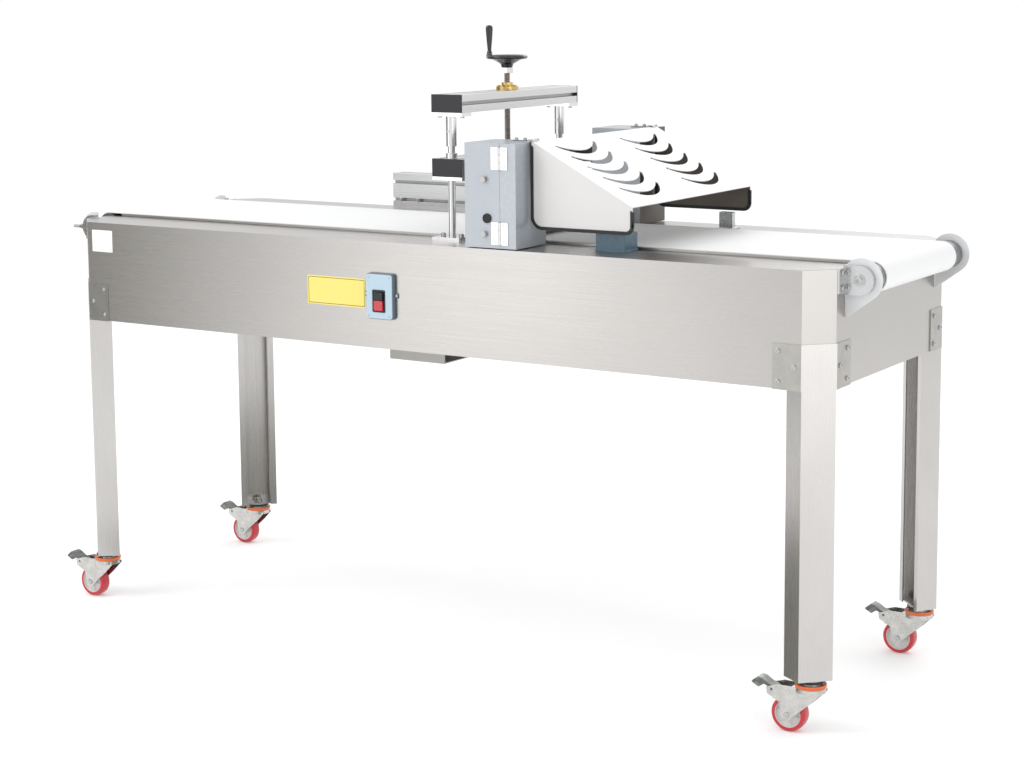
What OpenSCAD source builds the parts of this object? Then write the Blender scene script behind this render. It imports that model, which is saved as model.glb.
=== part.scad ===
// Belt conveyor table with a height-adjustable press head and a slotted guard hood.
// Millimetres, +Z up, X along the belt, -Y is the operator side, Z = 0 is the floor.

/* [Table frame] */
// Length of the table over its aprons
frame_l = 2000; // [1900:10:2200]
// Width of the table over its aprons
frame_w = 680; // [676:2:720]
// Height of the folded lip above the floor
lip_h = 955; // [930:5:1000]
// Height of the side aprons
apron_h = 240; // [236:2:260]
// Cut-off length of each corner, along both sides
chamfer = 52; // [48:1:56]
// Thickness of the stainless sheet
sheet_t = 2; // [1.5:0.5:2]

/* [Legs] */
// Underside of the leg's foot plate above the floor
leg_z = 117; // [117:1:120]
// Depth of the leg's flanges
flange_l = 54; // [46:1:58]
// Angle by which the flanges spread
flange_a = 12; // [8:1:14]
// Width of the lip on each flange's free edge
leg_lip = 16; // [12:1:20]

/* [Casters] */
// Wheel diameter
wheel_d = 75; // [73:1:76]
// Wheel width
wheel_w = 28; // [24:1:28]
// Distance from the swivel axis back to the wheel's axle
trail = 45; // [42:1:46]

/* [Belt] */
// Belt width
belt_w = 388; // [370:2:388]
// Belt thickness
belt_t = 2.5; // [2:0.5:2.5]
// Height of the belt's top above the lip
belt_rise = 8; // [7:0.5:8]
// Distance from the table's middle to the right end drum's axis
drum_xr = 1034; // [1032:1:1044]
// Distance from the table's middle to the left end drum's axis
drum_xl = 1013; // [1013:1:1016]
// Diameter of the drums at the end
drum_d = 60; // [60:1:61]

/* [Press head] */
// Height of the near and far housings
box_h = 225; // [200:5:240]
// Length of a housing along the belt
box_l = 129; // [124:1:134]
// Length of the two cross beams
beam_l = 497; // [490:1:500]
// Distance from the middle to each guide column
col_y = 233; // [232:1:234]
// Gap between the slide bush and the sleeve above it
lift_gap = 15; // [15:1:20]
// Diameter of the handwheel
hand_d = 96; // [80:2:110]

/* [Guard hood] */
// Length of the hood along the belt
hood_l = 246; // [230:2:260]
// Height of the hood's rear edge above the lip
hood_zr = 230; // [229:1:234]
// Height of the hood's front edge above the lip
hood_zf = 99; // [90:1:120]
// Rows of crescent slots
slot_rows = 5; // [3:1:5]
// Distance between rows, down the slope
slot_pitch = 44.5; // [40:0.1:45]

/* [Hidden] */
$fn = 64;
e = 0.05;                              // running clearance on a radius
hl = frame_l / 2;
hw = frame_w / 2;
lip_in = 198;                          // inner edge of the side lips
belt_z = lip_h + belt_rise;            // top of the belt
dr = drum_d / 2;                       // belt's inner radius at the end drums
dro = dr + belt_t;
dz = belt_z - dro;                     // height of the end drums' axes
ret_z = dz - dro;                      // underside of the return strand
drv_x = -103;                          // drive unit's place along the table
drv_r = 40;
snub_r = 20;
drv_z = lip_h - 150;
snub_dx = drv_r + belt_t + snub_r;
snub_z = ret_z - snub_r;
bed_z = belt_z - belt_t;
beam_x = 52.5;
beam_wd = 80;
beam_ht = 40;
lb_z = lip_h + 142;                    // underside of the lower beam
ub_z = lb_z + beam_ht + 12 + lift_gap + 67 + 8;   // underside of the upper beam
bx0 = 155;                             // housings' left face
bx1 = bx0 + box_l;
by0 = 213;                             // housings' inner and outer faces
by1 = 336;
bz0 = lip_h + 2;
seam_x = 244;                          // line of the door hinges
kn_r = 2.5;                            // radius of a door hinge's knuckle
rol_x = 205;
rol_z = lip_h + 32;
rol_r = 23.5;
hx0 = 290.5;                           // hood's rear edge
hx1 = hx0 + hood_l;
hy = 281;                              // outer face of the hood's side plates
hz0 = lip_h + 43;                      // lower edge of the side plates
hzr = lip_h + hood_zr;
hzf = lip_h + hood_zf;
hood_a = atan2(hzr - hzf, hood_l);
hood_s = sqrt(pow(hzr - hzf, 2) + pow(hood_l, 2));
hing_x = 287;                          // hood's hinge axis
hing_z = lip_h + 232;
grip_a = 212;
grip_r = 40;
wheel_z = ub_z + beam_ht + 79;         // top face of the handwheel's rim
lever_l = 81;                          // brake pedal's reach past the axle
guard_r = 44;                          // end guards' radius about the axle
// shifts that put the bounding box's middle over the origin
ox = (hl - chamfer / 2 - 22 * sqrt(0.5) + trail + lever_l - drum_xr - guard_r) / 2;
oy = 4.75;

// ---- helpers ----
module at() translate([ox, oy, 0]) children();
// repeats a part for both sides of the belt
module both() { children(); mirror([0, 1, 0]) children(); }
// cylinder along X, Y or Z, starting at the origin
module cyl_x(r, l) rotate([0, 90, 0]) cylinder(r = r, h = l);
module cyl_y(r, l) rotate([-90, 0, 0]) cylinder(r = r, h = l);
// outline in X and Z, extruded along +Y from y
module plate_y(y, t) translate([0, y + t, 0]) rotate([90, 0, 0]) linear_extrude(t) children();
module octagon(d) {
    a = hl - d; b = hw - d; c = chamfer - d * 0.586;
    polygon([[-a, -b + c], [-a + c, -b], [a - c, -b], [a, -b + c],
        [a, b - c], [a - c, b], [-a + c, b], [-a, b - c]]);
}
// one corner of the table: sx, sy = side along X and Y; the child is drawn for +X, -Y
module corner(sx, sy)
    mirror([sx < 0 ? 1 : 0, 0, 0]) mirror([0, sy > 0 ? 1 : 0, 0]) children();
// frame of a leg: X along the web, +Y inward
module leg_frame() translate([hl - chamfer / 2, -hw + chamfer / 2, 0]) rotate([0, 0, 45]) children();
web = chamfer * sqrt(2) / 2;
cast_in = 22;                          // swivel axis behind the web
cx = hl - chamfer / 2 - cast_in * sqrt(0.5);
cy = hw - chamfer / 2 - cast_in * sqrt(0.5);
// swivel axis of a caster; the wheels all trail towards -X
module caster(sx, sy) translate([sx * cx, sy * cy, 0]) children();

// ---- table ----
module table_frame() at() color("silver") difference() {
    union() {
        translate([0, 0, lip_h - apron_h]) linear_extrude(apron_h) difference() {
            octagon(0);
            octagon(sheet_t);
        }
        translate([0, 0, lip_h - sheet_t]) linear_extrude(sheet_t) octagon(0);
        // return flange along the lower edge
        translate([0, 0, lip_h - apron_h]) linear_extrude(sheet_t) difference() {
            octagon(0);
            octagon(14);
        }
        for (s = [-1, 1]) translate([-hl + 1, s > 0 ? lip_in : -lip_in - sheet_t, lip_h - 20])
            cube([frame_l - 2, sheet_t, 20]);
    }
    translate([-hl - 5, -lip_in, lip_h - 5]) cube([frame_l + 10, 2 * lip_in, 10]);
    // windows in the end aprons for the belt
    for (s = [-1, 1]) translate([s * hl - 8, -lip_in, ret_z - 7]) cube([16, 2 * lip_in, 100]);
}
module slider_bed() at() color("silver") translate([0, 0, bed_z]) {
    difference() {
        translate([-drum_xl + 41, -192, -35.5]) cube([drum_xl - 41 + hl, 384, 35.5]);
        translate([-drum_xl + 40, -190, -40]) cube([drum_xl - 39 + hl, 380, 38]);
    }
}
rail_xs = [-700, drv_x - 62, drv_x + 62, 350, 700];
rail_z = bed_z - 35.5;
rail_h = 22;
module cross_rails() at() color("silver")
    for (x = rail_xs) translate([x - 15, -hw + sheet_t, rail_z - rail_h]) difference() {
        cube([30, 2 * (hw - sheet_t), rail_h]);
        translate([2, -1, -1]) cube([26, 2 * hw, rail_h - 1]);
    }
module leg() {
    s = sin(flange_a); c = cos(flange_a); t = 2.5;
    half = [[web, -t], [web + flange_l * s, -t + flange_l * c],
        [web + flange_l * s - leg_lip, -t + flange_l * c],
        [web + flange_l * s - leg_lip, -2 * t + flange_l * c],
        [web + flange_l * s - 1.3 * t, -2 * t + flange_l * c], [web - 1.1 * t, 0]];
    n = len(half);
    leg_frame() {
        translate([0, 0, leg_z]) linear_extrude(lip_h - apron_h - leg_z - 0.05)
            polygon(concat(half, [for (i = [n - 1:-1:0]) [-half[i][0], half[i][1]]]));
        // closed foot plate with the hole for the caster's stem
        translate([0, 0, leg_z]) difference() {
            linear_extrude(4) polygon([[-web + 1, -1], [web - 1, -1],
                [web + 46 * s - 2, 44], [-web - 46 * s + 2, 44]]);
            translate([0, cast_in, -1]) cylinder(r = 6.2, h = 6);
        }
    }
    // tabs that lap over the corner of the aprons
    x1 = hl - chamfer; y1 = -hw; o = 2.5;
    translate([0, 0, lip_h - apron_h - 1]) linear_extrude(93) polygon([[x1 - 62, y1], [x1 - 62, y1 - o],
        [x1 + 1.04, y1 - o], [hl + o, y1 + chamfer - 1.04], [hl + o, y1 + chamfer + 68],
        [hl, y1 + chamfer + 68], [hl, y1 + chamfer], [x1, y1]]);
}
module leg_fr() at() color("silver") corner(1, -1) leg();
module leg_fl() at() color("silver") corner(-1, -1) leg();
module leg_br() at() color("silver") corner(1, 1) leg();
module leg_bl() at() color("silver") corner(-1, 1) leg();

// heads of the bolts and screws that are fixed to the table
module head(r, h) cylinder(r = r, h = h);
module frame_bolts() at() color("gainsboro") {
    tz = lip_h - apron_h;
    for (sx = [-1, 1], sy = [-1, 1]) corner(sx, sy) {
        for (p = [[hl - chamfer - 49, 77], [hl - chamfer - 14, 46], [hl - chamfer - 49, 15]])
            translate([p[0], -hw - 6.5, tz + p[1]]) cyl_y(5, 4);
        for (p = [[-hw + chamfer + 49, 77], [-hw + chamfer + 14, 46], [-hw + chamfer + 49, 15]])
            translate([hl + 2.5, p[0], tz + p[1]]) cyl_x(5, 4);
    }
    // column bases
    for (sy = [-1, 1], dx = [-24, 24]) translate([beam_x + dx, sy * col_y, lip_h + 8]) head(5.5, 7);
    // clamp bolts in the side profile's lower slot
    for (x = [-459, -407]) translate([x, 287, lip_h + 22.5]) cyl_y(7, 8);
    // switch box ears
    for (x = [-107.2, -24.6]) translate([x, -hw - 5, lip_h - 118]) cyl_y(3.2, 2);
    // bearing plates and axle ends
    both() {
        for (z = [-15, 15]) {
            translate([hl + 10, -263, dz + z]) cyl_y(4.5, 5);
            translate([-hl - 10, -263, dz + z * 1.3]) cyl_y(4.5, 5);
        }
        translate([drum_xr, -263, dz]) cyl_y(8, 5);
        translate([-drum_xl, -263, dz]) cyl_y(8, 5);
    }
    // belt tension screws
    both() translate([-drum_xl - 63, -252, dz]) {
        cyl_x(4, 33);
        translate([22, 0, 0]) rotate([0, 90, 0]) cylinder(r = 6.5, h = 8, $fn = 6);
    }
}
module label_plates() at() {
    color("gold") translate([-274, -hw - 0.8, lip_h - 152]) cube([163, 0.8, 66]);
    color("white") translate([-933, -hw - 0.8, lip_h - 71]) cube([65, 0.8, 53]);
}

// ---- casters ----
crown_z = 100;
module caster_mounts() at() color("gainsboro")
    for (sx = [-1, 1], sy = [-1, 1]) caster(sx, sy) {
        translate([0, 0, leg_z - 5]) cylinder(r = 27, h = 5);
        translate([0, 0, crown_z + 7]) cylinder(r = 20, h = leg_z - crown_z - 7);
        translate([0, 0, crown_z + 1]) cylinder(r = 32, h = 6);
        translate([0, 0, 89]) cylinder(r = 6 - e, h = 20);
        translate([0, 0, 83]) cylinder(r = 9, h = 6);
        translate([0, 0, leg_z - 2]) cylinder(r = 6, h = 16);
        translate([0, 0, leg_z + 4]) cylinder(r = 11, h = 8, $fn = 6);
    }
ax_z = wheel_d / 2;
arm_in = wheel_w / 2 + 2;
module fork() difference() {
    union() {
        translate([0, 0, 90]) cylinder(r = 31, h = crown_z - 90.5);
        translate([0, 0, 90]) translate([-50, -arm_in - 3, 0]) cube([50, 2 * arm_in + 6, 6]);
        for (s = [-1, 1]) plate_y(s > 0 ? arm_in : -arm_in - 3, 3) {
            polygon([[29, 96], [29, 91], [6, 68], [-trail + 13, ax_z - 3], [-trail - 13, ax_z - 3],
                [-trail - 17, 62], [-trail - 44, 76], [-trail - 46, 90], [-trail - 20, 98], [-28, 98]]);
            translate([-trail, ax_z]) circle(r = 13);
        }
        // riveted axle
        translate([-trail, -arm_in - 5, ax_z]) cyl_y(4, 2 * arm_in + 10);
    }
    translate([0, 0, 80]) cylinder(r = 6, h = 30);
    // opening for the brake lever between the arms
    translate([-trail - 60, -arm_in, 70]) cube([trail + 60 - 38, 2 * arm_in, 40]);
    translate([-trail - 34, -arm_in - 5, 86]) cyl_y(3 + e, 2 * arm_in + 10);
}
module wheel() translate([-trail, 0, ax_z]) rotate([90, 0, 0]) difference() {
    rotate_extrude() polygon([[4 + e, -14.5], [9, -14.5], [10, -10], [26, -9], [28, -wheel_w / 2 + 1],
        [wheel_d / 2 - 3, -wheel_w / 2], [wheel_d / 2, -wheel_w / 2 + 4], [wheel_d / 2, wheel_w / 2 - 4],
        [wheel_d / 2 - 3, wheel_w / 2], [28, wheel_w / 2 - 1], [26, 9], [10, 10], [9, 14.5],
        [4 + e, 14.5]]);
}
// shoe under the pedal's pivot, that swings against the tread
cam_a = atan2(86 - ax_z, -34) + 180 - 25;
cam = [-trail - 34 + 21.5 * cos(cam_a), 86 + 21.5 * sin(cam_a)];
module brake() {
    plate_y(-13, 26) polygon([[-trail - 24, 84], [-trail - 26, 90], [-trail - 44, 95],
        [-trail - 56, 103], [-trail - 67, 106], [-trail - lever_l, 95], [-trail - lever_l, 92],
        [-trail - 66, 84], [-trail - 54, 92], [-trail - 42, 88], [-trail - 41, 82],
        cam + [-3, 1], cam, cam + [2, 3], [-trail - 28, 80]]);
    translate([-trail - 34, -arm_in - 3, 86]) cyl_y(3, 2 * arm_in + 6);
    for (s = [-1, 1]) translate([-trail - 34, s > 0 ? 13 : -arm_in + 0.5, 86]) cyl_y(5, arm_in - 13.5);
}
module caster_fork_fr() at() color("lightgray") caster(1, -1) fork();
module caster_fork_fl() at() color("lightgray") caster(-1, -1) fork();
module caster_fork_br() at() color("lightgray") caster(1, 1) fork();
module caster_fork_bl() at() color("lightgray") caster(-1, 1) fork();
module caster_wheel_fr() at() color("crimson") caster(1, -1) wheel();
module caster_wheel_fl() at() color("crimson") caster(-1, -1) wheel();
module caster_wheel_br() at() color("crimson") caster(1, 1) wheel();
module caster_wheel_bl() at() color("crimson") caster(-1, 1) wheel();
module caster_brake_fr() at() color("dimgray") caster(1, -1) brake();
module caster_brake_fl() at() color("dimgray") caster(-1, -1) brake();
module caster_brake_br() at() color("dimgray") caster(1, 1) brake();
module caster_brake_bl() at() color("dimgray") caster(-1, 1) brake();

// ---- belt and drums ----
module ring(ro, ri) difference() { circle(r = ro, $fn = 96); circle(r = ri, $fn = 96); }
module belt() at() color("white") plate_y(-belt_w / 2, belt_w) {
    translate([-drum_xl, belt_z - belt_t]) square([drum_xl + drum_xr, belt_t]);
    intersection() {
        translate([drum_xr, dz]) ring(dro, dr);
        translate([drum_xr, dz - 60]) square([60, 120]);
    }
    intersection() {
        translate([-drum_xl, dz]) ring(dro, dr);
        translate([-drum_xl - 60, dz - 60]) square([60, 120]);
    }
    translate([drv_x + snub_dx, ret_z]) square([drum_xr - drv_x - snub_dx, belt_t]);
    translate([-drum_xl, ret_z]) square([drum_xl + drv_x - snub_dx, belt_t]);
    for (s = [0, 1]) translate([drv_x, 0]) mirror([s, 0]) {
        intersection() {
            translate([snub_dx, snub_z]) ring(snub_r + belt_t, snub_r);
            translate([drv_r - 1, snub_z]) square([snub_dx - drv_r + 1, 60]);
        }
        translate([drv_r, drv_z]) square([belt_t, snub_z - drv_z]);
    }
    intersection() {
        translate([drv_x, drv_z]) ring(drv_r + belt_t, drv_r);
        translate([drv_x - 60, drv_z - 60]) square([120, 60]);
    }
}
// steel tube with a bearing disc pressed into each end
module drum(r, half, bore, wall = 3) {
    difference() {
        translate([0, -half, 0]) cyl_y(r, 2 * half);
        translate([0, -half - 1, 0]) cyl_y(r - wall, 2 * half + 2);
    }
    for (s = [0, 1]) mirror([0, s, 0]) difference() {
        translate([0, -half + 2, 0]) cyl_y(r - wall, 12);
        translate([0, -half, 0]) cyl_y(bore, 20);
    }
}
module drum_right() at() color("dimgray") translate([drum_xr, 0, dz]) drum(dr - e, 238, 10 + e);
module drum_left() at() color("dimgray") translate([-drum_xl, 0, dz]) drum(dr - e, 196, 10 + e);
module drum_axles() at() color("lightgray")
    for (x = [drum_xr, -drum_xl]) translate([x, -258, dz]) cyl_y(10, 516);
// bearing plate, drawn for the right end's near side
module bearing_plate(x, r) {
    difference() {
        union() {
            plate_y(-258, 12) intersection() {
                union() {
                    translate([x, dz]) circle(r = r);
                    translate([hl, dz - r]) square([x - hl, 2 * r]);
                }
                translate([hl, dz - r]) square([2 * r + 60, 2 * r]);
            }
            translate([hl, -287, dz - 25]) cube([4, 41, 50]);
        }
        translate([x, -260, dz]) cyl_y(10, 20);
    }
}
module bearing_plates() at() color("silver") both() {
    bearing_plate(drum_xr, 30);
    mirror([1, 0, 0]) bearing_plate(drum_xl, 30);
}
// guard sheet behind the bearing plate: round about the axle, running down to a corner
gp = [hl + 2, dz - 77.5];
gd = [drum_xr - gp[0], dz - gp[1]];
gang = atan2(gd[1], gd[0]) - asin(guard_r / norm(gd));
glen = sqrt(gd[0] * gd[0] + gd[1] * gd[1] - guard_r * guard_r);
module side_guards() at() color("white") both() {
    difference() {
        plate_y(-246, 3) {
            intersection() {
                translate([drum_xr, dz]) circle(r = guard_r);
                translate([gp[0], dz - 60]) square([120, 120]);
            }
            polygon([gp, [gp[0] + glen * cos(gang), gp[1] + glen * sin(gang)],
                [drum_xr, dz], [gp[0], dz]]);
        }
        translate([drum_xr, -260, dz]) cyl_y(10, 20);
    }
    difference() {
        plate_y(-246, 3) intersection() {
            translate([-drum_xl, dz]) circle(r = 38);
            translate([-hl - 102, dz - 60]) square([100, 120]);
        }
        translate([-drum_xl, -260, dz]) cyl_y(10, 20);
    }
}
module drive_drum() at() color("dimgray") translate([drv_x, 0, drv_z]) {
    drum(drv_r - e, 196, 10, 4);
    translate([0, -207, 0]) cyl_y(10, 470);
}
module snub(s) translate([drv_x + s * snub_dx, 0, snub_z]) {
    drum(snub_r - e, 196, 8);
    translate([0, -207, 0]) cyl_y(8, 414);
}
module snub_roller_right() at() color("dimgray") snub(1);
module snub_roller_left() at() color("dimgray") snub(-1);
tray_x0 = drv_x - 77;
tray_z0 = lip_h - 300;
tray_y = 155;
// side plates that carry the drive drum and both snub rollers, and the tray slung under them
module drive_tray() at() color("silver") {
    translate([tray_x0, -tray_y, tray_z0]) cube([154, 2 * tray_y, 3]);
    both() difference() {
        union() {
            translate([tray_x0, -tray_y, tray_z0]) cube([154, 3, 67]);
            translate([tray_x0, -206, tray_z0 + 64]) cube([154, 206 - tray_y + 3, 3]);
            translate([tray_x0, -206, tray_z0 + 64]) cube([154, 3, rail_z - rail_h - 64 - tray_z0]);
            translate([tray_x0, -233, rail_z - rail_h - 3]) cube([154, 30, 3]);
        }
        translate([drv_x, -210, drv_z]) cyl_y(10 + e, 20);
        for (s = [-1, 1]) translate([drv_x + s * snub_dx, -210, snub_z]) cyl_y(8 + e, 20);
    }
}
module gearmotor() at() color("slategray") difference() {
    translate([drv_x, 0, drv_z]) {
        translate([-42, 206, -40]) cube([84, 60, 80]);
        translate([42, 236, 0]) cyl_x(29, 150);
        translate([192, 236, 0]) cyl_x(31, 40);
        translate([90, 221, 26]) cube([60, 30, 26]);
    }
    translate([drv_x, 200, drv_z]) cyl_y(10 + e, 70);
}

// ---- controls ----
module switch_box() at() color("lightblue") difference() {
    union() {
        plate_y(-hw - 12, 12) {
            translate([-102, lip_h - 166.5]) square([72, 90.5]);
            translate([-96, lip_h - 172.5]) square([60, 102.5]);
            for (x = [-96, -36], z = [-166.5, -76]) translate([x, lip_h + z]) circle(r = 6);
        }
        translate([-110.9, -hw - 3, lip_h - 124]) cube([90, 3, 12]);
    }
    // recess that holds the two buttons
    plate_y(-hw - 13, 4) translate([-84, lip_h - 156]) square([34, 49]);
    plate_y(-hw - 10, 8.5) translate([-79.2, lip_h - 152.8]) square([24.4, 41.3]);
}
module button(z, h) plate_y(-hw - 16, 10) translate([-79, lip_h + z - h / 2]) square([24, h]);
module start_button() at() color("black") button(-120.7, 18);
module stop_button() at() color("red") button(-141.6, 22);

// ---- gantry ----
// slotted aluminium profile section: w by h, slots on each face at the given places
module slot2d() {
    translate([-4, -5]) square([8, 6]);
    translate([-8, -9]) square([16, 5]);
}
module profile2d(w, h, nx, nz) difference() {
    translate([-w / 2, 0]) square([w, h]);
    for (i = [0:nx - 1]) {
        x = -w / 2 + (i + 0.5) * w / nx;
        translate([x, h]) slot2d();
        translate([x, 0]) mirror([0, 1]) slot2d();
    }
    for (i = [0:nz - 1]) {
        z = (i + 0.5) * h / nz;
        translate([w / 2, z]) rotate(-90) slot2d();
        translate([-w / 2, z]) rotate(90) slot2d();
    }
    for (i = [0:nx - 1], j = [0:nz - 1])
        translate([-w / 2 + (i + 0.5) * w / nx, (j + 0.5) * h / nz]) circle(r = 3.4);
}
module beam(z) translate([beam_x, 0, z]) plate_y(-beam_l / 2, beam_l) profile2d(beam_wd, beam_ht, 2, 1);
module caps(z) both() translate([beam_x - 40, -beam_l / 2 - 4, z]) cube([beam_wd, 4, beam_ht]);
module guide_columns() at() color("gainsboro") both() translate([beam_x, -col_y, lip_h]) {
    translate([-36, -28, 0]) cube([72, 56, 8]);
    cylinder(r = 8, h = ub_z - 14 - lip_h);
}
module column_sleeves() at() color("lightgray") both() translate([beam_x, -col_y, 0]) difference() {
    union() {
        translate([0, 0, ub_z - 75]) cylinder(r = 12, h = 67);
        translate([-40, -19, ub_z - 8]) cube([80, 40, 8]);
    }
    translate([0, 0, ub_z - 80]) cylinder(r = 8, h = 66);
}
module upper_beam() at() color("silver") difference() {
    beam(ub_z);
    translate([beam_x, 0, ub_z - 1]) cylinder(r = 13, h = beam_ht + 2);
}
module lower_beam() at() color("silver") difference() {
    beam(lb_z);
    both() translate([beam_x, -col_y, lb_z - 1]) cylinder(r = 13, h = beam_ht + 2);
    translate([beam_x, 0, lb_z + 10]) cylinder(r = 7 + e, h = beam_ht);
}
module upper_beam_caps() at() color("black") caps(ub_z);
module lower_beam_caps() at() color("black") caps(lb_z);
module slide_bushes() at() color("gainsboro") both() translate([beam_x, -col_y, 0]) difference() {
    union() {
        translate([-40, -19, lb_z - 8]) cube([80, 40, 8]);
        translate([0, 0, lb_z - 1]) cylinder(r = 13, h = beam_ht + 13);
    }
    translate([0, 0, lb_z - 10]) cylinder(r = 8 + e, h = beam_ht + 30);
}
hub_z = ub_z + beam_ht + 39;
module lift_screw() at() color("rosybrown") translate([beam_x, 0, 0]) {
    translate([0, 0, lb_z + 10]) cylinder(r = 7, h = hub_z + 24 - lb_z - 10);
    translate([0, 0, lb_z + beam_ht + 0.5]) cylinder(r = 11, h = 8);
    translate([0, 0, hub_z]) cylinder(r = 16, h = 12, $fn = 6);
}
module screw_nut() at() color("goldenrod") translate([beam_x, 0, ub_z]) difference() {
    union() {
        cylinder(r = 13, h = beam_ht + 17);
        translate([0, 0, beam_ht]) cylinder(r = 26, h = 8);
        for (a = [0:60:300]) rotate([0, 0, a + 20]) translate([19.5, 0, beam_ht + 7]) cylinder(r = 3.5, h = 4);
    }
    translate([0, 0, -1]) cylinder(r = 7 + e, h = beam_ht + 20);
}
hr = hand_d / 2;
module handwheel() at() color("black") translate([beam_x, 0, 0]) {
    difference() {
        translate([0, 0, wheel_z]) rotate_extrude() polygon([[0, -28], [13, -28], [15, -20],
            [hr * 0.6, -12], [hr - 3, -6], [hr, -4], [hr, -1], [hr - 2, 1], [hr - 8, 0],
            [hr * 0.55, -5], [16, -5], [14, -3], [0, -3]]);
        translate([0, 0, hub_z - 1]) cylinder(r = 7, h = 25);
    }
    rotate([0, 0, grip_a]) translate([grip_r, 0, wheel_z - 6]) {
        cylinder(r = 6, h = 9.5);
        cylinder(r = 3, h = 64);
    }
}
module crank_grip() at() color("black") translate([beam_x, 0, 0]) rotate([0, 0, grip_a])
    translate([grip_r, 0, wheel_z + 4]) difference() {
        rotate_extrude() polygon([[0, 0], [6, 0], [6, 5], [4.5, 7], [5.5, 18], [7.5, 50], [8.2, 60],
            [7, 63.5], [4, 65], [0, 65]]);
        translate([0, 0, -1]) cylinder(r = 3 + e, h = 56);
    }

// ---- press head ----
// near housing: sheet box, door opening in front, shaft hole inside
module head_box() {
    difference() {
        translate([bx0, -by1, bz0]) cube([box_l, by1 - by0, box_h]);
        translate([bx0 + 2, -by1 + 2, bz0 + 2]) cube([box_l - 4, by1 - by0 - 4, box_h - 4]);
        translate([bx0 - 1, -by1 - 1, bz0 - 1]) cube([seam_x - bx0 + 1, 3, box_h + 2]);
        translate([rol_x, -by0 - 3, rol_z]) cyl_y(8 + e, 5);
    }
    // shaft bearing boss
    translate([rol_x, -by0 - 12, rol_z]) difference() {
        cyl_y(15, 10.5);
        translate([0, -1, 0]) cyl_y(8 + e, 14);
    }
    // fixed hinge leaves, their knuckles and the hinge pins
    for (z = [10, 171]) translate([seam_x, -by1, bz0 + z]) {
        translate([3, -1.5, -2]) cube([17, 1.5, 48]);
        translate([0, -1.5, 14]) cube([4, 1.5, 16]);
        translate([0, -kn_r, 14]) cylinder(r = kn_r, h = 16);
        translate([0, -kn_r, -2]) cylinder(r = 1.2, h = 48);
    }
    // hood hinge plate on top, with two knuckles and their pin
    translate([seam_x - 10, -277, bz0 + box_h]) cube([bx1 - seam_x + 10, 20, 2.4]);
    for (y = [-286, -257]) {
        translate([bx1 - 2, y, bz0 + box_h]) cube([hing_x - bx1 + 2, 9, 3]);
        translate([bx1 - 12, y, bz0 + box_h]) cube([12, 9, 2.4]);
        translate([hing_x, y, hing_z]) cyl_y(3, 9);
    }
    translate([bx1 - 12, -286, bz0 + box_h]) cube([12, 38, 2.4]);
    translate([hing_x, -286, hing_z]) cyl_y(1.5, 38);
}
// near door with its hinge leaves, two lock knobs and the key plug
module door() {
    translate([bx0, -by1, bz0]) cube([seam_x - bx0 - 0.5, 2, box_h]);
    for (z = [10, 171]) translate([seam_x, -by1, bz0 + z]) difference() {
        union() {
            translate([-21, -1.5, -2]) cube([18, 1.5, 48]);
            for (k = [-2, 30.5]) {
                translate([-4, -1.5, k]) cube([4, 1.5, 15.5]);
                translate([0, -kn_r, k]) cylinder(r = kn_r, h = 15.5);
            }
        }
        translate([0, -kn_r, -3]) cylinder(r = 1.2 + e, h = 50);
        translate([-0.5, -1.5, -3]) cube([1, 2, 50]);
    }
    for (z = [32, 149.5]) translate([rol_x, -by1 - 8, lip_h + z]) cyl_y(6.5, 9);
    translate([seam_x - 22 - 10, -by1 - 3, lip_h + 66]) cyl_y(10, 4);
}
module head_box_near() at() color("lightsteelblue") head_box();
module head_box_far() at() color("lightsteelblue") mirror([0, 1, 0]) head_box();
module door_near() at() color("lightsteelblue") door();
module door_far() at() color("lightsteelblue") mirror([0, 1, 0]) door();
module press_roller() at() color("gainsboro") translate([rol_x, 0, rol_z]) {
    translate([0, -205, 0]) cyl_y(rol_r, 410);
    translate([0, -230, 0]) cyl_y(8, 510);
}
module head_motor() at() color("slategray") difference() {
    union() {
        translate([rol_x - 35, 226, bz0 + 2]) cube([70, 60, rol_z + 39 - bz0 - 2]);
        translate([rol_x, 272, rol_z + 39]) cylinder(r = 46, h = 100);
        translate([rol_x, 272, rol_z + 139]) cylinder(r = 42, h = 14);
    }
    translate([rol_x, 220, rol_z]) cyl_y(8 + e, 61);
}
module head_brackets() at() color("dimgray") both() translate([beam_x + 40, -253, lb_z + 2]) {
    cube([4, 40, 36]);
    cube([bx0 - beam_x - 40, 10, 36]);
    translate([bx0 - beam_x - 44, 0, 0]) cube([4, 40, 36]);
}
module head_bolts() at() color("gray") both() {
    for (z = [10, 26]) {
        translate([beam_x + 44, -225, lb_z + 2 + z]) cyl_x(5, 4);
        translate([bx0 - 8, -225, lb_z + 2 + z]) cyl_x(5, 4);
    }
    for (x = [seam_x, seam_x + 22]) translate([x, -267, bz0 + box_h + 2.4]) head(4, 6);
    for (z = [10, 171], dz = [4, 40]) translate([seam_x + 12, -by1 - 2.1, bz0 + z + dz]) cyl_y(1.8, 0.6);
}

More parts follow.
